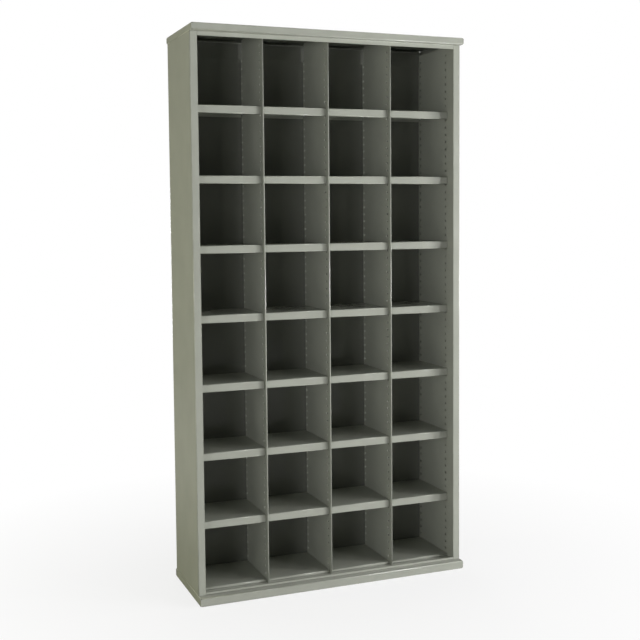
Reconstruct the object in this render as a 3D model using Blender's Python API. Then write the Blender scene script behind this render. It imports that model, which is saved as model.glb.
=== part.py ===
"""Bin cabinet: an open steel cabinet with small adjustable shelves between perforated walls.

Metres, +Z up, the open front faces -Y. The origin is on the floor, at the centre of the outline.
Every wall is a folded sheet: a path of its outer face, given a thickness and pulled along one axis,
or a shallow tray. The shelves lie loose on clips that sit in the slots of the walls.
"""

import math

import bmesh
import bpy

MM = 0.001

# Overall size
WIDTH = 940 * MM
DEPTH = 320 * MM
HEIGHT = 1820 * MM

# Sheet and clearances
SHEET = 1.2 * MM
SHELF_SHEET = 1.0 * MM
SEAT_GAP = 0.3 * MM

# Plinth and cap
BASE_HEIGHT = 27 * MM
FOOT_FLANGE = 25 * MM
BASE_RAIL = 8 * MM
BASE_RAIL_FOOT = 10 * MM
CAP_HEIGHT = 22 * MM
CAP_RETURN = 24 * MM
FRONT_RAIL = 13 * MM
RAIL_END_GAP = 0.8 * MM
FRONT_SETBACK = 26 * MM
REAR_SETBACK = 10 * MM

# Side walls and back
SIDE_FLANGE = 24 * MM
LINER_FLANGE = 12 * MM
BACK_RECESS = 28 * MM
BACK_FLANGE = 26 * MM
REAR_RAIL_DROP = 41 * MM
REAR_RAIL_RISE = 11 * MM
REAR_RAIL_LEDGE = 12 * MM

# Dividers
BAYS = 4
HEM_WIDTH = 4 * MM
HEM_DEPTH = 12 * MM
DIVIDER_SETBACK = 30 * MM
DIVIDER_FLANGE = 14 * MM

# Slots and clips
HOLE_PITCH = 24.57 * MM
HOLE_WIDTH = 9 * MM
HOLE_HEIGHT = 4.5 * MM
FIRST_HOLE = 74.2 * MM
TOP_HOLE_MARGIN = 70 * MM
FRONT_ROW = 25 * MM
REAR_ROW = 10 * MM
CLIP_REACH = 9 * MM
CLIP_HEIGHT = 8 * MM

# Shelves
HOLES_PER_BIN = 9
FIRST_SHELF_HOLE = 6
CLIP_HOLE_DROP = 3.6 * MM
SHELF_SIDE_GAP = 0.75 * MM
SHELF_REAR_GAP = 3 * MM
LIP_SETBACK = 13 * MM
LIP_HEIGHT = 25 * MM
LIP_RETURN = 6 * MM
REAR_LIP = 18 * MM
BOTTOM_LIP = 8 * MM

# Paint
PAINT_COLOUR = (0.45, 0.465, 0.405, 1.0)
PAINT_ROUGHNESS = 0.35

# Planes that the pieces share
FRONT = -DEPTH / 2
REAR = DEPTH / 2
DECK = BASE_HEIGHT
ROOF = HEIGHT - CAP_HEIGHT
WALL_FRONT = FRONT + FRONT_SETBACK
WALL_REAR = REAR - REAR_SETBACK
WALL_INNER = WIDTH / 2 - SIDE_FLANGE
WALL_BOTTOM = DECK + SEAT_GAP
WALL_TOP = ROOF - SEAT_GAP
RAIL_END = WALL_INNER - RAIL_END_GAP - SEAT_GAP
BACK_FACE = WALL_REAR - BACK_RECESS
REAR_RAIL_FACE = BACK_FACE - SEAT_GAP
REAR_RAIL_BOTTOM = ROOF - REAR_RAIL_DROP
BAY_CLEAR = (2 * WALL_INNER - (BAYS - 1) * HEM_WIDTH) / BAYS
BAY_PITCH = BAY_CLEAR + HEM_WIDTH
DIVIDER_FRONT = WALL_FRONT + DIVIDER_SETBACK
DIVIDER_REAR = BACK_FACE - SEAT_GAP
DIVIDER_TOP = HEIGHT - SHEET - SEAT_GAP
ROW_DEPTHS = (DIVIDER_FRONT + FRONT_ROW, BACK_FACE - REAR_ROW)
SHELF_WIDTH = BAY_CLEAR - 2 * SHELF_SIDE_GAP
SHELF_FRONT = DIVIDER_FRONT + LIP_SETBACK
SHELF_REAR = BACK_FACE - SHELF_REAR_GAP
CUT_MARGIN = 2 * MM


def hole_levels():
    """Heights of all slots in a row, from the plinth to just under the cap."""
    lowest = DECK + FIRST_HOLE
    count = int((ROOF - TOP_HOLE_MARGIN - lowest) / HOLE_PITCH) + 1
    return [lowest + index * HOLE_PITCH for index in range(count)]


def shelf_holes():
    """Indexes of the slots that carry a shelf, lowest first, with half a bin free under the rear rail."""
    half_bin = HOLES_PER_BIN * HOLE_PITCH / 2
    levels = hole_levels()
    return [index for index in range(FIRST_SHELF_HOLE, len(levels), HOLES_PER_BIN)
            if levels[index] + half_bin < REAR_RAIL_BOTTOM]


def paint(name):
    """One satin paint material for a sub-part."""
    material = bpy.data.materials.new(name + "_paint")
    material.use_nodes = True
    shader = material.node_tree.nodes["Principled BSDF"]
    shader.inputs["Base Color"].default_value = PAINT_COLOUR
    shader.inputs["Roughness"].default_value = PAINT_ROUGHNESS
    shader.inputs["Metallic"].default_value = 0.0
    return material


def add_object(name, mesh, location=(0, 0, 0), rotation=(0, 0, 0)):
    """Links a mesh as a named sub-part with its own paint."""
    part = bpy.data.objects.new(name, mesh)
    part.location = location
    part.rotation_euler = rotation
    bpy.context.scene.collection.objects.link(part)
    part.data.materials.append(paint(name))
    return part


def to_mesh(name, bm):
    """Turns a bmesh into a mesh with its faces pointing out."""
    bmesh.ops.recalc_face_normals(bm, faces=bm.faces)
    mesh = bpy.data.meshes.new(name)
    bm.to_mesh(mesh)
    bm.free()
    return mesh


def fold(path, thickness):
    """Outline of a folded sheet: the path of one face, and the other face on the right of its travel."""
    def normal(start, end):
        length = math.dist(start, end)
        return ((end[1] - start[1]) / length, (start[0] - end[0]) / length)

    normals = [normal(a, b) for a, b in zip(path, path[1:])]
    inner = []
    for index, (u, v) in enumerate(path):
        sides = set(normals[max(index - 1, 0):index + 1])
        inner.append((u + thickness * sum(n[0] for n in sides), v + thickness * sum(n[1] for n in sides)))
    return path + inner[::-1]


def mirrored(path):
    """The same path on the other side of the cabinet, so that its thickness stays inside."""
    return [(-u, v) for u, v in reversed(path)]


def prism(name, outline, place, low, high):
    """Pulls a flat outline from low to high. place(u, v, w) gives a point of the solid."""
    bm = bmesh.new()
    face = bm.faces.new([bm.verts.new(place(u, v, low)) for u, v in outline])
    moved = bmesh.ops.extrude_face_region(bm, geom=[face])["geom"]
    start, end = place(0, 0, low), place(0, 0, high)
    bmesh.ops.translate(bm, verts=[v for v in moved if isinstance(v, bmesh.types.BMVert)],
                        vec=[b - a for a, b in zip(start, end)])
    return to_mesh(name, bm)


def upright(x, y, z):
    """Places an outline drawn in plan and pulled upwards."""
    return (x, y, z)


def crosswise(y, z, x):
    """Places an outline drawn from the side and pulled along the width."""
    return (x, y, z)


def box(bm, low, high):
    """Adds one box to a bmesh."""
    corners = bmesh.ops.create_cube(bm, size=1.0)["verts"]
    for corner in corners:
        for axis in range(3):
            corner.co[axis] = high[axis] if corner.co[axis] > 0 else low[axis]


def tray(name, half_x, half_y, depth, returns=None, rail=0.0):
    """An open tray face up at z = 0, its skirts turned down, with optional returns and a front rail.

    returns gives the widths of the flanges turned in at the skirts' lower edges: side, front and rear.
    """
    bm = bmesh.new()

    def loop(x, front, rear, z):
        return [bm.verts.new(point) for point in ((-x, front, z), (x, front, z), (x, rear, z), (-x, rear, z))]

    def ring(upper, lower):
        for index in range(4):
            after = (index + 1) % 4
            bm.faces.new((upper[index], lower[index], lower[after], upper[after]))

    top = loop(half_x, -half_y, half_y, 0)
    bm.faces.new(top)
    edge = loop(half_x, -half_y, half_y, -depth)
    ring(top, edge)
    if returns:
        side, front, rear = returns
        inner = loop(half_x - side, -half_y + front, half_y - rear, -depth)
        ring(edge, inner)
        if rail:
            low = [bm.verts.new((v.co.x, v.co.y, v.co.z - rail)) for v in inner[:2]]
            bm.faces.new((inner[0], low[0], low[1], inner[1]))
    mesh = bpy.data.meshes.new(name)
    bm.to_mesh(mesh)
    bm.free()
    return mesh


def thicken(part, thickness):
    """Gives a tray its sheet thickness, inwards from its outer faces."""
    solid = part.modifiers.new("sheet", "SOLIDIFY")
    solid.thickness = thickness
    solid.offset = -1.0
    solid.use_even_offset = True


def add_tool(part, name, bm, operation):
    """Joins or cuts a hidden helper shape into a wall."""
    helper = bpy.data.objects.new(name, to_mesh(name, bm))
    helper.hide_render = True
    helper.display_type = "WIRE"
    bpy.context.scene.collection.objects.link(helper)
    boolean = part.modifiers.new(name, "BOOLEAN")
    boolean.operation = operation
    boolean.object = helper


def slots(bm, low_x, high_x):
    """Adds cutters for the free slots of one wall: two rows, without those that hold a clip."""
    taken = shelf_holes()
    for index, level in enumerate(hole_levels()):
        if index in taken:
            continue
        for depth in ROW_DEPTHS:
            box(bm, (low_x - CUT_MARGIN, depth - HOLE_WIDTH / 2, level - HOLE_HEIGHT / 2),
                (high_x + CUT_MARGIN, depth + HOLE_WIDTH / 2, level + HOLE_HEIGHT / 2))


def clips(bm, face_x, direction):
    """Adds the clips on one face of a wall: a flat seat with a gusset below, rooted in the sheet."""
    root = face_x - direction * SHEET / 2
    tip = face_x + direction * CLIP_REACH
    for index in shelf_holes():
        seat = shelf_level(index) - SHELF_SHEET - SEAT_GAP
        for depth in ROW_DEPTHS:
            ends = [[bm.verts.new((x, depth + side * HOLE_WIDTH / 2, z))
                     for x, z in ((root, seat), (tip, seat), (root, seat - CLIP_HEIGHT))]
                    for side in (-1, 1)]
            for end in ends:
                bm.faces.new(end)
            for start in range(3):
                after = (start + 1) % 3
                bm.faces.new((ends[0][start], ends[0][after], ends[1][after], ends[1][start]))


def shelf_level(index):
    """Height of the top of a shelf whose clips sit in the slots of this index."""
    return hole_levels()[index] + CLIP_HOLE_DROP


def build_plinth():
    """The plinth: a tray face up with flanges turned in to stand on, and a low rail across its front."""
    mesh = tray("base_plinth", WIDTH / 2, DEPTH / 2, BASE_HEIGHT, returns=(FOOT_FLANGE,) * 3)
    thicken(add_object("base_plinth", mesh, location=(0, 0, BASE_HEIGHT)), SHEET)

    path = [(WALL_FRONT + BASE_RAIL_FOOT, WALL_BOTTOM), (WALL_FRONT, WALL_BOTTOM),
            (WALL_FRONT, DECK + BASE_RAIL)]
    add_object("base_front_rail", prism("base_front_rail", fold(path, SHEET), crosswise, -RAIL_END, RAIL_END))


def build_cap():
    """The cap: a tray whose front return ends in a small rail between the side flanges."""
    returns = (SIDE_FLANGE + RAIL_END_GAP, FRONT_SETBACK, CAP_RETURN)
    mesh = tray("top_cap", WIDTH / 2, DEPTH / 2, CAP_HEIGHT, returns=returns, rail=FRONT_RAIL)
    thicken(add_object("top_cap", mesh, location=(0, 0, HEIGHT)), SHEET)


def build_sides():
    """Outer side channels and the perforated liners that close them."""
    outer = WIDTH / 2
    panel = [(-WALL_INNER, WALL_FRONT), (-outer, WALL_FRONT), (-outer, WALL_REAR), (-WALL_INNER, WALL_REAR)]
    front = WALL_FRONT + SHEET + SEAT_GAP
    rear = WALL_REAR - SHEET - SEAT_GAP
    hidden = WALL_INNER + LINER_FLANGE
    liner = [(-hidden, rear), (-WALL_INNER, rear), (-WALL_INNER, front), (-hidden, front)]
    for side, direction in (("left", 1), ("right", -1)):
        flip = list if side == "left" else mirrored
        name = side + "_side_panel"
        add_object(name, prism(name, fold(flip(panel), SHEET), upright, WALL_BOTTOM, WALL_TOP))
        name = side + "_side_liner"
        wall = add_object(name, prism(name, fold(flip(liner), SHEET), upright, WALL_BOTTOM, WALL_TOP))
        face = -direction * WALL_INNER
        bm = bmesh.new()
        clips(bm, face, direction)
        add_tool(wall, name + "_clips", bm, "UNION")
        bm = bmesh.new()
        slots(bm, min(face, face - direction * SHEET), max(face, face - direction * SHEET))
        add_tool(wall, name + "_slots", bm, "DIFFERENCE")


def build_back():
    """The recessed back panel and the folded rail across its top."""
    half_width = WALL_INNER - SEAT_GAP
    half_height = (WALL_TOP - WALL_BOTTOM) / 2
    mesh = tray("back_panel", half_width, half_height, BACK_FLANGE)
    middle = (0, BACK_FACE, WALL_BOTTOM + half_height)
    thicken(add_object("back_panel", mesh, middle, (math.pi / 2, 0, 0)), SHEET)

    top = ROOF + REAR_RAIL_RISE
    path = [(REAR_RAIL_FACE - REAR_RAIL_LEDGE, top), (REAR_RAIL_FACE, top),
            (REAR_RAIL_FACE, REAR_RAIL_BOTTOM)]
    add_object("rear_top_rail", prism("rear_top_rail", fold(path, SHEET), crosswise, -RAIL_END, RAIL_END))


def build_dividers():
    """Full-height dividers: a folded front edge, slots and clips, and a flange on the back panel."""
    for index in range(1, BAYS):
        name = f"divider_{index}"
        x = (index - BAYS / 2) * BAY_PITCH
        left = x - HEM_WIDTH / 2
        right = x + HEM_WIDTH / 2
        path = [(right, DIVIDER_FRONT + HEM_DEPTH), (right, DIVIDER_FRONT), (left, DIVIDER_FRONT),
                (left, DIVIDER_REAR), (left + DIVIDER_FLANGE, DIVIDER_REAR)]
        wall = add_object(name, prism(name, fold(path, SHEET), upright, WALL_BOTTOM, DIVIDER_TOP))
        bm = bmesh.new()
        clips(bm, left, -1)
        clips(bm, left + SHEET, 1)
        add_tool(wall, name + "_clips", bm, "UNION")
        bm = bmesh.new()
        box(bm, (left - CUT_MARGIN, REAR_RAIL_FACE - REAR_RAIL_LEDGE - SEAT_GAP, REAR_RAIL_BOTTOM - SEAT_GAP),
            (left + DIVIDER_FLANGE + CUT_MARGIN, BACK_FACE + CUT_MARGIN, DIVIDER_TOP + CUT_MARGIN))
        add_tool(wall, name + "_notch", bm, "DIFFERENCE")
        bm = bmesh.new()
        slots(bm, left, left + SHEET)
        add_tool(wall, name + "_slots", bm, "DIFFERENCE")


def shelf_mesh(name, lip, rear_lip):
    """A shelf about its own origin: the middle of its width, at the level of its top."""
    path = [(SHELF_FRONT + LIP_RETURN, -lip), (SHELF_FRONT, -lip), (SHELF_FRONT, 0), (SHELF_REAR, 0),
            (SHELF_REAR, -rear_lip)]
    return prism(name, fold(path, SHELF_SHEET), crosswise, -SHELF_WIDTH / 2, SHELF_WIDTH / 2)


def build_shelves():
    """Rows of loose shelves, counted from the top. The lowest row lies on the plinth."""
    levels = [shelf_level(index) for index in reversed(shelf_holes())]
    for row, level in enumerate(levels + [WALL_BOTTOM + BOTTOM_LIP], start=1):
        lips = (LIP_HEIGHT, REAR_LIP) if row <= len(levels) else (BOTTOM_LIP, BOTTOM_LIP)
        for column in range(1, BAYS + 1):
            name = f"shelf_r{row}_c{column}"
            x = (column - (BAYS + 1) / 2) * BAY_PITCH
            add_object(name, shelf_mesh(name, *lips), location=(x, 0, level))


def main():
    for existing in list(bpy.data.objects):
        bpy.data.objects.remove(existing, do_unlink=True)
    build_plinth()
    build_cap()
    build_sides()
    build_back()
    build_dividers()
    build_shelves()


main()
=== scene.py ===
"""Looks of the bin cabinet: folded, painted sheet steel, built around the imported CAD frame.

Each CAD node is replaced by a fuller piece of the same size: sheets with rounded bends and open corner
seams, walls with all their slots, separate shelf clips and rivets. Lengths are in metres, +Z is up and
the open front faces -Y.
"""

import math

import bmesh
import bpy
from mathutils import Matrix, Vector


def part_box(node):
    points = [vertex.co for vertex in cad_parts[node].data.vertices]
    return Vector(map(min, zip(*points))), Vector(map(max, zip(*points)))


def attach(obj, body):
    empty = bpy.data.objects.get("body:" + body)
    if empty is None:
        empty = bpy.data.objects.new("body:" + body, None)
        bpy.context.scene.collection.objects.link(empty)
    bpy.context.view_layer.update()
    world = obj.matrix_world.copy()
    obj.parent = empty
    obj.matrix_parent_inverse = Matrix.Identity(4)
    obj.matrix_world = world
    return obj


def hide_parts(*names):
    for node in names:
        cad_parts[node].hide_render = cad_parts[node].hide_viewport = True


MM = 0.001

# Sheet
SHEET = 1.2 * MM
SHELF_SHEET = 1.0 * MM
BEND = 2.2 * MM
SIDE_BEND = 3.0 * MM
SHELF_BEND = 1.8 * MM
RAIL_BEND = 2.5 * MM
BEND_STEPS = 5
SEAM_GAP = 0.4 * MM
RELIEF = 1.6 * MM

# Flanges of the trays and walls
FOOT_FLANGE = 25 * MM
CAP_SIDE_RETURN = 24.8 * MM
CAP_FRONT_RETURN = 26 * MM
CAP_REAR_RETURN = 24 * MM
CAP_HEIGHT = 22 * MM
LINER_FLANGE = 12 * MM

# Divider folds
HEM_WIDTH = 4 * MM
HEM_DEPTH = 12 * MM
HEM_BEND = 1.9 * MM
DIVIDER_FLANGE = 14 * MM
NOTCH_GAP = 0.3 * MM
CUT_MARGIN = 3 * MM

# Slots
SLOT_PITCH = 24.57 * MM
SLOT_COUNT = 71
LOWEST_SLOT = 52.06 * MM
SLOT_WIDTH = 9 * MM
SLOT_HEIGHT = 6.5 * MM
SLOT_CORNER = 1.2 * MM
SLOT_CORNER_STEPS = 3
SLOT_ROWS = (-79 * MM, 112 * MM)

# Clips
CLIP_REACH = 9 * MM
CLIP_HEIGHT = 8 * MM
CLIP_WIDTH = 8.4 * MM
CLIP_BEND = 1.8 * MM
CLIP_GAP = 0.1 * MM
CLIP_BELOW_TOP = 1.3 * MM
RIB_WIDTH = 2 * MM
RIB_END = 1 * MM
TAB_WIDTH = 6.6 * MM
TAB_DROP = 0.8 * MM
TAB_HEIGHT = 3.0 * MM
TAB_DEPTH = 1.2 * MM

# Shelves
LIP_RETURN = 6 * MM
LIP_END_GAP = 0.6 * MM
REAR_LIP = 18 * MM

# Rivets
RIVET_RADIUS = 3.2 * MM
RIVET_HEIGHT = 1.3 * MM
RIVET_SEGMENTS = 16
RIVET_DOME = ((1.0, 0.0), (0.93, 0.4), (0.72, 0.78), (0.38, 0.96))
RIVETS_PER_LINE = 8
RIVET_MARGIN = 70 * MM

# Paint: colours, then noise scales in features per metre, then ranges of brightness and roughness
PAINT = (0.36, 0.372, 0.325)
WORN_PAINT = (0.46, 0.474, 0.425)
DUST = (0.45, 0.45, 0.41)
MOTTLE_SCALE = 9.0
GRAIN_SCALE = 900.0
WEAR_SCALE = 40.0
DUST_SCALE = 30.0
WAVE_SCALE = 7.0
WAVE_DEPTH = 1.0 * MM
PEEL_SCALE = 260.0
PEEL_DEPTH = 0.05 * MM
MOTTLE = (0.965, 1.03)
GRAIN = (0.985, 1.015)
UNEVEN_GLOSS = (-0.025, 0.035)
DUST_DULLNESS = 0.6
REAR_DULLNESS = 0.35

# Faces that look to the front, to the rear or up, as ranges of one part of the normal
TO_FRONT = (-0.9, -0.3)
TO_REAR = (0.3, 0.9)
UPWARD = (0.8, 1.0)

# Zinc
ZINC = (0.62, 0.63, 0.64)
SPANGLE_SCALE = 420.0
SPANGLE = (0.88, 1.05)
CLOUD_SCALE = 160.0
CLOUD_DEPTH = 0.1 * MM
ZINC_ROUGHNESS = (0.28, 0.5)

BAYS = 4
ROWS = 8

# Studio: light from the room, the share of white that mirrored rays see, and the floor
AMBIENT = 0.01
MIRRORED = 0.15
MIRRORED_SKY = (0.7, 1.0)
MIRRORED_FLOOR = (0.3, 1.5)
WHITE = (1.0, 1.0, 1.0, 1.0)
PALE = (0.8, 0.8, 0.8, 1.0)
DULL = (0.15, 0.15, 0.15, 1.0)
FLOOR_WHITE = (0.8, 1.0)
FLOOR_RADII = (0.4, 1.6)
FLOOR_SIZE = 8.0
FLOOR_DROP = 0.3 * MM

# Lamps: name, place, size, power and colour
NEUTRAL = (1.0, 1.0, 1.0)
LAMP_TARGET = Vector((0.0, -0.1, 0.9))
LAMPS = (
    ("far_right", (4.0, -5.0, 1.3), (0.95, 2.0), 130, NEUTRAL),
    ("key_right", (4.2, -2.75, 1.2), (1.1, 1.6), 165, NEUTRAL),
    ("steep_right", (4.4, -0.9, 1.3), (1.0, 1.5), 60, NEUTRAL),
    ("front_left", (-3.9, -4.6, 1.2), (0.9, 0.7), 62, NEUTRAL),
    ("fill_left", (-3.9, -2.35, 1.3), (1.0, 1.5), 12, NEUTRAL),
    ("side_left", (-4.4, -0.9, 1.3), (1.0, 1.5), 12, (1.0, 0.98, 0.75)),
    ("rear_left", (-4.3, 1.0, 1.3), (1.0, 1.5), 58, (1.0, 0.99, 0.66)),
    ("top", (0.0, -0.1, 3.6), (1.6, 1.0), 24, NEUTRAL),
    ("rear", (0.8, 4.2, 0.9), (1.5, 1.2), 75, NEUTRAL),
)

# Camera, from the outline in the photograph
IMAGE_SIZE = 640
FOCAL_PIXELS = 1057.2
SENSOR = 36.0
CAMERA_PLACE = (-1.316, -3.3251, 1.2422)
CAMERA_YAW = 0.3786
CAMERA_PITCH = -0.0694
CAMERA_ROLL = -0.0083
CAMERA_RISE_PIXELS = 35.0

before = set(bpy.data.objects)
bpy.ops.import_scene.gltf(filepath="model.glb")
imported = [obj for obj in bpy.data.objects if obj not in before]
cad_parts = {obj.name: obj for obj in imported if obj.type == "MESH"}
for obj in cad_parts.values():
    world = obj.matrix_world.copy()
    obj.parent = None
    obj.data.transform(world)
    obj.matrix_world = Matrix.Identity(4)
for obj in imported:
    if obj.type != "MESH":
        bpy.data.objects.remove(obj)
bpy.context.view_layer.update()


# Materials

def node(tree, kind, links=None, **values):
    """Adds a node, sets its values and fills or links its inputs."""
    made = tree.nodes.new(kind)
    for name, value in values.items():
        setattr(made, name, value)
    for key, value in (links or {}).items():
        socket = made.inputs[key]
        if isinstance(value, bpy.types.NodeSocket):
            tree.links.new(value, socket)
        else:
            socket.default_value = value
    return made


def spread(tree, value, low, high, start=0.3, end=0.7):
    """Maps a value from one range to another."""
    return node(tree, "ShaderNodeMapRange", {"Value": value, "From Min": start, "From Max": end,
                                             "To Min": low, "To Max": high}).outputs["Result"]


def math_node(tree, operation, *values):
    return node(tree, "ShaderNodeMath", dict(enumerate(values)), operation=operation).outputs["Value"]


def scaled(tree, colour, factor):
    return node(tree, "ShaderNodeVectorMath", {0: colour, "Scale": factor}, operation="SCALE").outputs["Vector"]


def blend_colours(tree, factor, first, second):
    """Mixes a linked colour with a fixed one."""
    made = node(tree, "ShaderNodeMix", {0: factor}, data_type="RGBA")
    tree.links.new(first, made.inputs[6])
    made.inputs[7].default_value = (*second, 1.0)
    return made.outputs[2]


def noise(tree, place, scale, detail=2.0, roughness=0.5):
    return node(tree, "ShaderNodeTexNoise", {"Vector": place, "Scale": scale, "Detail": detail,
                                             "Roughness": roughness}).outputs["Fac"]


def paint_material(name, gloss, dust, wear, painted_shade_level=1.0, index=1.5):
    """Stove enamel on steel: slightly mottled, with orange peel, a breath of dust and paler folds.

    painted_shade_level is the share of its brightness left on faces that look to the open front, a painted
    shade that darkens them; index is the refractive index of its surface.
    """
    material = bpy.data.materials.new(name)
    material.use_nodes = True
    tree = material.node_tree
    shader = tree.nodes["Principled BSDF"]
    shader.inputs["IOR"].default_value = index
    place = node(tree, "ShaderNodeTexCoord").outputs["Object"]
    mottle = noise(tree, place, MOTTLE_SCALE, 4.0)
    grain = noise(tree, place, GRAIN_SCALE)

    # Colour
    normal = node(tree, "ShaderNodeNewGeometry").outputs["Normal"]
    facing = node(tree, "ShaderNodeSeparateXYZ", {0: normal}).outputs
    level = math_node(tree, "MULTIPLY", spread(tree, mottle, *MOTTLE), spread(tree, grain, *GRAIN))
    # Painted shade: faces that look to the open front keep only painted_shade_level of their brightness
    level = math_node(tree, "MULTIPLY", level, spread(tree, facing["Y"], painted_shade_level, 1.0, *TO_FRONT))
    fold = node(tree, "ShaderNodeAttribute", attribute_name="fold").outputs["Fac"]
    worn = math_node(tree, "MULTIPLY", fold, spread(tree, noise(tree, place, WEAR_SCALE, 5.0), 0.0, wear))
    base = blend_colours(tree, worn, scaled(tree, PAINT, level), WORN_PAINT)
    dusty = math_node(tree, "MULTIPLY", spread(tree, facing["Z"], 0.0, dust, *UPWARD),
                      noise(tree, place, DUST_SCALE, 6.0, 0.65))
    tree.links.new(blend_colours(tree, dusty, base, DUST), shader.inputs["Base Color"])

    # Gloss: uneven, duller under dust and on the unseen rear
    uneven = spread(tree, mottle, gloss + UNEVEN_GLOSS[0], gloss + UNEVEN_GLOSS[1])
    uneven = math_node(tree, "ADD", uneven, spread(tree, facing["Y"], 0.0, REAR_DULLNESS, *TO_REAR))
    tree.links.new(math_node(tree, "MULTIPLY_ADD", dusty, DUST_DULLNESS, uneven), shader.inputs["Roughness"])

    # Relief: orange peel over the slow waves of thin sheet
    waves = node(tree, "ShaderNodeBump", {"Height": noise(tree, place, WAVE_SCALE, 1.0), "Strength": 0.25,
                                          "Distance": WAVE_DEPTH}).outputs["Normal"]
    peel = node(tree, "ShaderNodeBump", {"Height": noise(tree, place, PEEL_SCALE, 1.5, 0.4), "Strength": 0.12,
                                         "Distance": PEEL_DEPTH, "Normal": waves}).outputs["Normal"]
    tree.links.new(peel, shader.inputs["Normal"])
    return material


def zinc_material(name):
    """Zinc plate on clips and rivets: metallic, spangled and uneven in gloss."""
    material = bpy.data.materials.new(name)
    material.use_nodes = True
    tree = material.node_tree
    shader = tree.nodes["Principled BSDF"]
    shader.inputs["Metallic"].default_value = 1.0
    place = node(tree, "ShaderNodeTexCoord").outputs["Object"]
    spangle = node(tree, "ShaderNodeTexVoronoi", {"Vector": place, "Scale": SPANGLE_SCALE}).outputs["Distance"]
    cloud = noise(tree, place, CLOUD_SCALE, 4.0)
    tree.links.new(scaled(tree, ZINC, spread(tree, spangle, *SPANGLE, 0.0, 1.0)), shader.inputs["Base Color"])
    tree.links.new(spread(tree, cloud, *ZINC_ROUGHNESS), shader.inputs["Roughness"])
    bump = node(tree, "ShaderNodeBump", {"Height": cloud, "Strength": 0.15, "Distance": CLOUD_DEPTH})
    tree.links.new(bump.outputs["Normal"], shader.inputs["Normal"])
    return material


CARCASS_PAINT = paint_material("carcass_enamel", gloss=0.09, dust=0.25, wear=0.6)
# Painted shade: this enamel darkens its faces that look to the open front, so the insides of the bins look deep
# in shade
SHADED_BACK_PAINT = paint_material("back_enamel_painted_shade", gloss=0.05, dust=0.25, wear=0.6, painted_shade_level=0.42, index=1.7)
SHELF_PAINT = paint_material("shelf_enamel", gloss=0.11, dust=0.2, wear=0.6)
ZINC_PLATE = zinc_material("zinc_plate")


# Folded sheets

def right_of(way):
    """Unit normal to the right of travel."""
    return (way[1], -way[0])


def moved(point, way, length):
    return (point[0] + way[0] * length, point[1] + way[1] * length)


def turned(vector, angle):
    c, s = math.cos(angle), math.sin(angle)
    return (c * vector[0] - s * vector[1], s * vector[0] + c * vector[1])


class Section:
    """A folded sheet in section: points on its middle line, the normals to the right, and which lie on a bend.

    path is the sheet's face on the left of travel, with sharp corners; bend is the outer radius. owner holds,
    for each point, the index of the corner of the path that it comes from.
    """

    def __init__(self, path, thickness, bend):
        self.thickness = thickness
        self.points, self.normals, self.bent, self.owner = [], [], [], []
        ways = []
        for start, end in zip(path, path[1:]):
            length = math.dist(start, end)
            ways.append(((end[0] - start[0]) / length, (end[1] - start[1]) / length))
        ways = [ways[0], *ways, ways[-1]]
        for index, corner in enumerate(path):
            before, after = ways[index], ways[index + 1]
            first, second = right_of(before), right_of(after)
            share = thickness / 2 / (1 + first[0] * second[0] + first[1] * second[1])
            middle = moved(moved(corner, first, share), second, share)
            angle = math.atan2(before[0] * after[1] - before[1] * after[0],
                               before[0] * after[0] + before[1] * after[1])
            if abs(angle) < 1e-6:
                self.add(index, middle, first)
            else:
                self.turn(index, middle, before, angle, bend - thickness / 2)

    def add(self, owner, point, normal, bent=False):
        self.points.append(point)
        self.normals.append(normal)
        self.bent.append(bent)
        self.owner.append(owner)

    def turn(self, owner, corner, before, angle, radius):
        """Adds one rounded corner."""
        inside = math.copysign(radius, -angle)
        start = moved(corner, before, -radius * math.tan(abs(angle) / 2))
        centre = moved(start, right_of(before), inside)
        for step in range(BEND_STEPS + 1):
            normal = turned(right_of(before), angle * step / BEND_STEPS)
            self.add(owner, moved(centre, normal, -inside), normal, 0 < step < BEND_STEPS)

    def faces(self):
        """The two faces of the sheet, left and right of travel."""
        half = self.thickness / 2
        return [[moved(p, n, side * half) for p, n in zip(self.points, self.normals)] for side in (-1, 1)]

    def web(self):
        """Index of the longest straight stretch."""
        return max(range(len(self.points) - 1), key=lambda i: math.dist(self.points[i], self.points[i + 1]))


def new_mesh():
    bm = bmesh.new()
    bm.verts.layers.float.new("fold")
    return bm


def vertex(bm, point, fold=0.0):
    made = bm.verts.new(point)
    made[bm.verts.layers.float["fold"]] = fold
    return made


def strip(bm, section, place, ends, attached=False, holes=None):
    """Adds a folded sheet. place(u, v, w) gives a point; ends gives both ends for each corner of its path.

    With attached, the first edge is left open for the plate that it joins. holes cuts slots in the web.
    """
    verts = [[[vertex(bm, place(u, v, ends[owner][side]), float(bent))
               for (u, v), owner, bent in zip(face, section.owner, section.bent)]
              for side in (0, 1)] for face in section.faces()]
    web = section.web() if holes else None
    for i in range(len(section.points) - 1):
        smooth = section.bent[i] or section.bent[i + 1]
        for low, high in verts:
            if i != web:
                bm.faces.new((low[i], high[i], high[i + 1], low[i + 1])).smooth = smooth
        for side in (0, 1):
            left, right = verts[0][side], verts[1][side]
            bm.faces.new((left[i], left[i + 1], right[i + 1], right[i]))
    for i in ((-1,) if attached else (0, -1)):
        bm.faces.new((verts[0][0][i], verts[0][1][i], verts[1][1][i], verts[1][0][i]))
    if holes:
        outlines = []
        for low, high in verts:
            edges = sorted(([low[i], high[i]] for i in (web, web + 1)), key=lambda edge: edge[0].co.y)
            outlines.append(perforate(bm, *edges, *holes))
        for first, second in zip(*outlines):
            for i in range(len(first)):
                bm.faces.new((first[i - 1], first[i], second[i], second[i - 1]))


def slot_corner(y, z, toward_y, toward_z):
    """Points of one rounded slot corner, from its level edge up to the start of its upright edge."""
    points = []
    for step in range(SLOT_CORNER_STEPS):
        angle = math.pi / 2 * step / SLOT_CORNER_STEPS
        points.append((y + toward_y * SLOT_CORNER * (1 - math.sin(angle)),
                       z + toward_z * SLOT_CORNER * (1 - math.cos(angle))))
    return points


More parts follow.
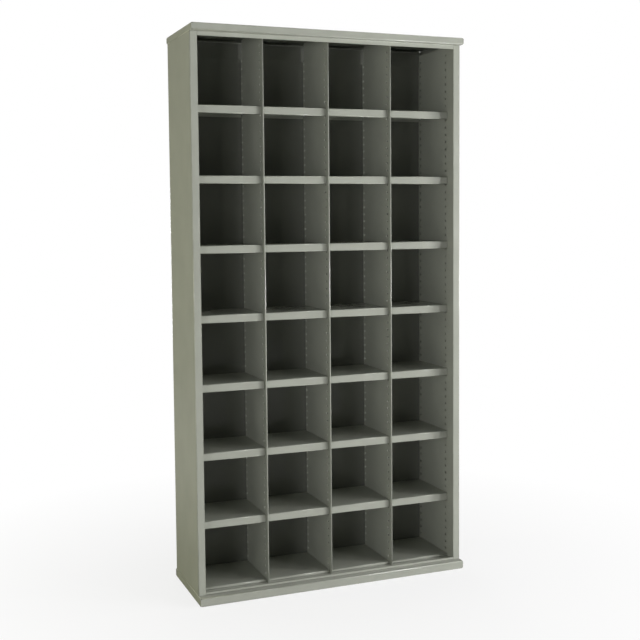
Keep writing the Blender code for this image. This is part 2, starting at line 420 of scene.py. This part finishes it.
def perforate(bm, front_edge, rear_edge, levels, shut):
    """Fills an upright web between two edges, leaves two rows of slots and returns the slots' outlines.

    shut holds the (row, level) indexes of slots that aren't there.
    """
    x = front_edge[0].co.x
    cuts = [front_edge[0].co.z]
    for level in levels:
        low, high = level - SLOT_HEIGHT / 2, level + SLOT_HEIGHT / 2
        cuts += [low, low + SLOT_CORNER, high - SLOT_CORNER, high]
    cuts.append(front_edge[1].co.z)
    before, outlines = front_edge, []
    for row, middle in enumerate(SLOT_ROWS):
        left, right = ([vertex(bm, (x, middle + side * SLOT_WIDTH / 2, z)) for z in cuts] for side in (-1, 1))
        if row == 0:
            bm.faces.new([before[0], *left, before[1]])
        else:
            for i in range(len(cuts) - 1):
                bm.faces.new((before[i], left[i], left[i + 1], before[i + 1]))
        bridge = [left[0], right[0]]
        for index in range(len(levels)):
            at = 4 * index + 1
            arcs = []
            for line, toward_y, step, toward_z in ((left, 1, 0, 1), (right, -1, 0, 1),
                                                   (right, -1, 3, -1), (left, 1, 3, -1)):
                corner, upright = line[at + step], line[at + step + toward_z]
                points = slot_corner(corner.co.y, corner.co.z, toward_y, toward_z)
                arc = [vertex(bm, (x, *point)) for point in points]
                arc.append(upright)
                for a, b in zip(arc, arc[1:]):
                    bm.faces.new((corner, a, b))
                arcs.append(arc)
            lower_left, lower_right, upper_right, upper_left = arcs
            bm.faces.new([*bridge, right[at], lower_right[0], lower_left[0], left[at]])
            bridge = [left[at + 3], upper_left[0], upper_right[0], right[at + 3]]
            outline = [*lower_left[::-1], *lower_right, *upper_right[::-1], *upper_left]
            if (row, index) in shut:
                bm.faces.new(outline)
            else:
                outlines.append(outline)
        bm.faces.new([*bridge, right[-1], left[-1]])
        before = right
    bm.faces.new([*before, rear_edge[1], rear_edge[0]])
    return outlines


def tray(bm, half_x, half_y, skirts, place):
    """A plate at z = 0 with four folded skirts. skirts gives depth, flange and rail for front, rear and sides.

    The corners are open: the sheet is relieved at the bends, the front and rear skirts run past the side
    skirts, and the flanges are mitred.
    """
    front, rear, side = skirts
    inset = BEND + RELIEF
    plate_x, plate_y = half_x - inset, half_y - inset
    for z in (0.0, -SHEET):
        corners = ((-plate_x, -plate_y), (plate_x, -plate_y), (plate_x, plate_y), (-plate_x, plate_y))
        bm.faces.new([vertex(bm, place(x, y, z)) for x, y in corners])
    short = half_y - SHEET - SEAM_GAP
    for (depth, flange, rail), outer, along, full, inner, axis in (
            (front, half_y, plate_x, half_x, half_x - side[1], (0, -1)),
            (rear, half_y, plate_x, half_x, half_x - side[1], (0, 1)),
            (side, half_x, plate_y, short, half_y - front[1], (-1, 0)),
            (side, half_x, plate_y, short, half_y - front[1], (1, 0))):
        path = [(outer - inset, 0.0), (outer, 0.0), (outer, -inset)]
        reach = [along, along, full]
        if flange:
            path += [(outer, -depth + inset), (outer, -depth), (outer - flange, -depth)]
            reach += [full, along, inner - SEAM_GAP]
        else:
            path.append((outer, -depth))
            reach.append(full)
        if rail:
            path.append((outer - flange, -depth - rail))
            reach.append(inner - SEAM_GAP)
        strip(bm, Section(path, SHEET, BEND),
              lambda u, v, w, a=axis: place(u * a[0] - w * a[1], u * a[1] + w * a[0], v),
              [(-r, r) for r in reach], attached=True)


def upright(x, y, z):
    """Places a section drawn in plan and pulled upwards."""
    return (x, y, z)


def crosswise(y, z, x):
    """Places a section drawn from the side and pulled along the width."""
    return (x, y, z)


def add_piece(name, bm, material, body, replaced=None):
    """Turns a mesh into a piece that rides on a body and stands for a CAD node."""
    bmesh.ops.remove_doubles(bm, verts=bm.verts, dist=1e-6)
    bmesh.ops.recalc_face_normals(bm, faces=bm.faces)
    mesh = bpy.data.meshes.new(name)
    bm.to_mesh(mesh)
    bm.free()
    piece = bpy.data.objects.new(name, mesh)
    bpy.context.scene.collection.objects.link(piece)
    mesh.materials.append(material)
    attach(piece, body)
    if replaced:
        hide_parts(replaced)
    return piece


def add_carcass_piece(node_name, bm, paint=CARCASS_PAINT):
    return add_piece(node_name + "_sheet", bm, paint, "carcass", node_name)


def box(bm, low, high):
    for corner in bmesh.ops.create_cube(bm, size=1.0)["verts"]:
        for axis in range(3):
            corner.co[axis] = high[axis] if corner.co[axis] > 0 else low[axis]


# Plinth, cap, back and sides

def build_plinth():
    low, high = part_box("base_plinth")
    bm = new_mesh()
    skirt = (high.z - low.z, FOOT_FLANGE, 0.0)
    tray(bm, high.x, high.y, (skirt, skirt, skirt), lambda x, y, z: (x, y, high.z + z))
    add_carcass_piece("base_plinth", bm)

    low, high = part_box("base_front_rail")
    bm = new_mesh()
    section = Section([(high.y, low.z), (low.y, low.z), (low.y, high.z)], SHEET, BEND)
    strip(bm, section, crosswise, [(low.x, high.x)] * 3)
    add_carcass_piece("base_front_rail", bm)


def build_cap():
    low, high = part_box("top_cap")
    bm = new_mesh()
    rail = high.z - low.z - CAP_HEIGHT
    skirts = ((CAP_HEIGHT, CAP_FRONT_RETURN, rail), (CAP_HEIGHT, CAP_REAR_RETURN, 0.0),
              (CAP_HEIGHT, CAP_SIDE_RETURN, 0.0))
    tray(bm, high.x, high.y, skirts, lambda x, y, z: (x, y, high.z + z))
    add_carcass_piece("top_cap", bm)


def build_back():
    low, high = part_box("back_panel")
    middle = (low.z + high.z) / 2
    bm = new_mesh()
    skirt = (high.y - low.y, 0.0, 0.0)
    tray(bm, high.x, high.z - middle, (skirt, skirt, skirt), lambda x, y, z: (x, low.y - z, middle + y))
    # Painted shade: the back sheet's front face is darkened by its enamel
    add_carcass_piece("back_panel", bm, SHADED_BACK_PAINT)

    low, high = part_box("rear_top_rail")
    bm = new_mesh()
    section = Section([(low.y, high.z), (high.y, high.z), (high.y, low.z)], SHEET, RAIL_BEND)
    strip(bm, section, crosswise, [(low.x, high.x)] * 3)
    # Painted shade: the rear top rail's front face is darkened the same way
    add_carcass_piece("rear_top_rail", bm, SHADED_BACK_PAINT)


def build_sides():
    for side, sign in (("left", 1), ("right", -1)):
        name = side + "_side_panel"
        low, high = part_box(name)
        outer, inner = (low.x, high.x) if sign > 0 else (high.x, low.x)
        path = [(inner, low.y), (outer, low.y), (outer, high.y), (inner, high.y)][::sign]
        bm = new_mesh()
        strip(bm, Section(path, SHEET, SIDE_BEND), upright, [(low.z, high.z)] * 4)
        add_carcass_piece(name, bm)

        name = side + "_side_liner"
        low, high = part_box(name)
        face = inner
        hidden = face - sign * LINER_FLANGE
        path = [(hidden, high.y), (face, high.y), (face, low.y), (hidden, low.y)][::sign]
        bm = new_mesh()
        strip(bm, Section(path, SHEET, BEND), upright, [(low.z, high.z)] * 4, holes=(slot_levels(), ()))
        add_carcass_piece(name, bm)
        add_clips(name, ((face, sign),))


def slot_levels():
    return [LOWEST_SLOT + index * SLOT_PITCH for index in range(SLOT_COUNT)]


def divider_middle(index):
    """Middle of a divider's front edge, between the shelves on its two sides."""
    return (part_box(f"shelf_r1_c{index}")[1].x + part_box(f"shelf_r1_c{index + 1}")[0].x) / 2


def build_dividers():
    rail_low, rail_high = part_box("rear_top_rail")
    for index in range(1, BAYS):
        name = f"divider_{index}"
        low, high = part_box(name)
        left = divider_middle(index) - HEM_WIDTH / 2
        right = left + HEM_WIDTH
        path = [(right, low.y + HEM_DEPTH), (right, low.y), (left, low.y), (left, high.y),
                (left + DIVIDER_FLANGE, high.y)]
        bm = new_mesh()
        strip(bm, Section(path, SHEET, HEM_BEND), upright, [(low.z, high.z)] * 5,
              holes=(slot_levels(), {(1, SLOT_COUNT - 1)}))
        wall = add_carcass_piece(name, bm)
        cut_notch(wall, (left - CUT_MARGIN, rail_low.y - NOTCH_GAP, rail_low.z - NOTCH_GAP),
                  (left + DIVIDER_FLANGE + CUT_MARGIN, high.y + CUT_MARGIN, high.z + CUT_MARGIN))
        add_clips(name, ((left, -1), (left + SHEET, 1)))


def cut_notch(wall, low, high):
    """Cuts a corner off a wall, for good."""
    bm = bmesh.new()
    box(bm, low, high)
    mesh = bpy.data.meshes.new("notch")
    bm.to_mesh(mesh)
    bm.free()
    cutter = bpy.data.objects.new("notch", mesh)
    bpy.context.scene.collection.objects.link(cutter)
    modifier = wall.modifiers.new("notch", "BOOLEAN")
    modifier.operation = "DIFFERENCE"
    modifier.solver = "EXACT"
    modifier.object = cutter
    bpy.context.view_layer.update()
    cut = bpy.data.meshes.new_from_object(wall.evaluated_get(bpy.context.evaluated_depsgraph_get()))
    wall.modifiers.clear()
    whole = wall.data
    wall.data = cut
    bpy.data.meshes.remove(whole)
    cut.name = wall.name
    bpy.data.objects.remove(cutter, do_unlink=True)
    bpy.data.meshes.remove(mesh)


# Clips and rivets

def add_clips(wall, faces):
    """Adds the zinc clips of one wall: an L with a rib below its tongue and a tab in the slot."""
    bm = new_mesh()
    for row in range(1, ROWS):
        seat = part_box(f"shelf_r{row}_c1")[1].z - CLIP_BELOW_TOP
        for face, sign in faces:
            for y in SLOT_ROWS:
                clip(bm, face, sign, y, seat)
    add_piece(wall + "_clips", bm, ZINC_PLATE, "carcass")


def clip(bm, face, sign, y, seat):
    def place(u, z, w):
        return (face + sign * u, y + w, seat + z)

    section = Section([(CLIP_GAP, -CLIP_HEIGHT), (CLIP_GAP, 0.0), (CLIP_REACH, 0.0)], SHEET, CLIP_BEND)
    half = CLIP_WIDTH / 2
    strip(bm, section, place, [(-half, half)] * 3)
    root = CLIP_GAP + SHEET / 2
    rib = ((root, -SHEET / 2), (CLIP_REACH - RIB_END, -SHEET / 2), (CLIP_REACH - RIB_END, -SHEET - RIB_END),
           (root + RIB_END + SHEET / 2, -CLIP_HEIGHT + RIB_END), (root, -CLIP_HEIGHT + RIB_END))
    prism(bm, rib, RIB_WIDTH / 2, place)
    tab = ((-TAB_DEPTH, -TAB_DROP), (root, -TAB_DROP), (root, -TAB_DROP - TAB_HEIGHT),
           (-TAB_DEPTH, -TAB_DROP - TAB_HEIGHT))
    prism(bm, tab, TAB_WIDTH / 2, place)


def prism(bm, outline, half, place):
    """Adds a flat outline pulled from -half to half."""
    ends = [[vertex(bm, place(u, v, w)) for u, v in outline] for w in (-half, half)]
    for end in ends:
        bm.faces.new(end)
    for i in range(len(outline)):
        bm.faces.new((ends[0][i - 1], ends[0][i], ends[1][i], ends[1][i - 1]))


def rivet(bm, x, y, z):
    """Adds one low domed head that faces the rear."""
    rings = []
    for share, rise in RIVET_DOME:
        rings.append([vertex(bm, (x + RIVET_RADIUS * share * math.cos(angle), y + RIVET_HEIGHT * rise,
                                  z + RIVET_RADIUS * share * math.sin(angle)))
                      for angle in (2 * math.pi * i / RIVET_SEGMENTS for i in range(RIVET_SEGMENTS))])
    bm.faces.new(rings[0])
    for inner, outer in zip(rings[1:], rings):
        for i in range(RIVET_SEGMENTS):
            bm.faces.new((outer[i - 1], outer[i], inner[i], inner[i - 1])).smooth = True
    tip = vertex(bm, (x, y + RIVET_HEIGHT, z))
    for i in range(RIVET_SEGMENTS):
        bm.faces.new((rings[-1][i - 1], rings[-1][i], tip)).smooth = True


def build_rivets():
    """Rivet lines on the rear: through the divider flanges, and down the rear flange of each side."""
    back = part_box("back_panel")[0].y + SHEET
    inset = (DIVIDER_FLANGE - HEM_WIDTH) / 2
    lines = [(divider_middle(index) + inset, back) for index in range(1, BAYS)]
    for side in ("left", "right"):
        low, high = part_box(side + "_side_panel")
        lines.append(((low.x + high.x) / 2, high.y))
    bottom, top = low.z + RIVET_MARGIN, high.z - RIVET_MARGIN
    bm = new_mesh()
    for x, y in lines:
        for index in range(RIVETS_PER_LINE):
            rivet(bm, x, y, bottom + (top - bottom) * index / (RIVETS_PER_LINE - 1))
    add_piece("rear_rivets", bm, ZINC_PLATE, "carcass")


# Shelves

def build_shelves():
    inset = SHELF_BEND + RELIEF
    for row in range(1, ROWS + 1):
        for column in range(1, BAYS + 1):
            name = f"shelf_r{row}_c{column}"
            low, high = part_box(name)
            rear_low = low.z if row == ROWS else high.z - REAR_LIP
            path = [(low.y + LIP_RETURN, low.z), (low.y, low.z), (low.y, high.z), (low.y + inset, high.z),
                    (high.y - inset, high.z), (high.y, high.z), (high.y, rear_low)]
            full = (low.x, high.x)
            short = (low.x + LIP_END_GAP, high.x - LIP_END_GAP)
            bm = new_mesh()
            strip(bm, Section(path, SHELF_SHEET, SHELF_BEND), crosswise,
                  [short, short, short, full, full, short, short])
            add_piece(name + "_sheet", bm, SHELF_PAINT, name, name)


# Studio

def add_camera():
    yaw, pitch, roll = CAMERA_YAW, CAMERA_PITCH, CAMERA_ROLL
    ahead = Vector((math.sin(yaw) * math.cos(pitch), math.cos(yaw) * math.cos(pitch), math.sin(pitch)))
    level = Vector((math.cos(yaw), -math.sin(yaw), 0.0))
    above = level.cross(ahead)
    right = math.cos(roll) * level + math.sin(roll) * above
    up = -math.sin(roll) * level + math.cos(roll) * above
    camera = bpy.data.objects.new("camera", bpy.data.cameras.new("camera"))
    camera.matrix_world = Matrix.Translation(CAMERA_PLACE) @ Matrix((right, up, -ahead)).transposed().to_4x4()
    camera.data.sensor_width = SENSOR
    camera.data.lens = SENSOR * FOCAL_PIXELS / IMAGE_SIZE
    camera.data.shift_y = -CAMERA_RISE_PIXELS / IMAGE_SIZE
    bpy.context.scene.collection.objects.link(camera)
    bpy.context.scene.camera = camera


def add_lamp(name, place, size, power, colour):
    """A soft box aimed at the middle of the cabinet's front, not itself seen by the camera."""
    lamp = bpy.data.objects.new(name, bpy.data.lights.new(name, "AREA"))
    lamp.data.shape = "RECTANGLE"
    lamp.data.size, lamp.data.size_y = size
    lamp.data.energy = power
    lamp.data.color = colour
    lamp.visible_camera = False
    lamp.location = place
    lamp.rotation_euler = (Vector(place) - LAMP_TARGET).to_track_quat("Z", "Y").to_euler()
    bpy.context.scene.collection.objects.link(lamp)


def seen_white(tree, place, stretch, plain, white):
    """Gives white to rays from the camera and through glass, and some of it to mirrored rays that go behind.

    place is a point or a direction, whose y along the stretch leads from the dark room in front to the back.
    """
    path = node(tree, "ShaderNodeLightPath")
    depth = node(tree, "ShaderNodeSeparateXYZ", {0: place}).outputs["Y"]
    behind = spread(tree, depth, 0.0, MIRRORED, *stretch)
    mirrored = math_node(tree, "MULTIPLY", path.outputs["Is Glossy Ray"], behind)
    seen = math_node(tree, "MAXIMUM", path.outputs["Is Camera Ray"], path.outputs["Is Transmission Ray"])
    seen = math_node(tree, "MAXIMUM", seen, mirrored)
    return node(tree, "ShaderNodeMixShader", {0: seen, 1: plain, 2: white}).outputs["Shader"]


def add_world():
    world = bpy.data.worlds.new("studio")
    bpy.context.scene.world = world
    world.use_nodes = True
    tree = world.node_tree
    tree.nodes.clear()
    way = node(tree, "ShaderNodeTexCoord").outputs["Generated"]
    dim = node(tree, "ShaderNodeBackground", {"Color": WHITE, "Strength": AMBIENT}).outputs[0]
    white = node(tree, "ShaderNodeBackground", {"Color": WHITE, "Strength": 1.0}).outputs[0]
    output = node(tree, "ShaderNodeOutputWorld")
    tree.links.new(seen_white(tree, way, MIRRORED_SKY, dim, white), output.inputs["Surface"])


def add_floor():
    """A pale floor that fades to white away from the cabinet, and looks dull to mirrored rays in front."""
    material = bpy.data.materials.new("pale_floor")
    material.use_nodes = True
    tree = material.node_tree
    tree.nodes.clear()
    place = node(tree, "ShaderNodeTexCoord").outputs["Object"]
    far = node(tree, "ShaderNodeVectorMath", {0: place}, operation="LENGTH").outputs["Value"]
    pale = node(tree, "ShaderNodeBsdfDiffuse", {"Color": PALE}).outputs[0]
    dull = node(tree, "ShaderNodeBsdfDiffuse", {"Color": DULL}).outputs[0]
    glossy = node(tree, "ShaderNodeLightPath").outputs["Is Glossy Ray"]
    plain = node(tree, "ShaderNodeMixShader", {0: glossy, 1: pale, 2: dull}).outputs[0]
    glow = node(tree, "ShaderNodeEmission", {"Color": WHITE, "Strength": 1.0}).outputs[0]
    fade = spread(tree, far, *FLOOR_WHITE, *FLOOR_RADII)
    bright = node(tree, "ShaderNodeMixShader", {0: fade, 1: pale, 2: glow}).outputs[0]
    output = node(tree, "ShaderNodeOutputMaterial")
    tree.links.new(seen_white(tree, place, MIRRORED_FLOOR, plain, bright), output.inputs["Surface"])
    bm = bmesh.new()
    bmesh.ops.create_grid(bm, x_segments=1, y_segments=1, size=FLOOR_SIZE)
    mesh = bpy.data.meshes.new("floor")
    bm.to_mesh(mesh)
    bm.free()
    floor = bpy.data.objects.new("floor", mesh)
    mesh.materials.append(material)
    floor.location.z = -FLOOR_DROP
    bpy.context.scene.collection.objects.link(floor)


build_plinth()
build_cap()
build_back()
build_sides()
build_dividers()
build_rivets()
build_shelves()

add_camera()
add_world()
add_floor()
for lamp in LAMPS:
    add_lamp(*lamp)
bpy.context.scene.view_settings.view_transform = "Standard"
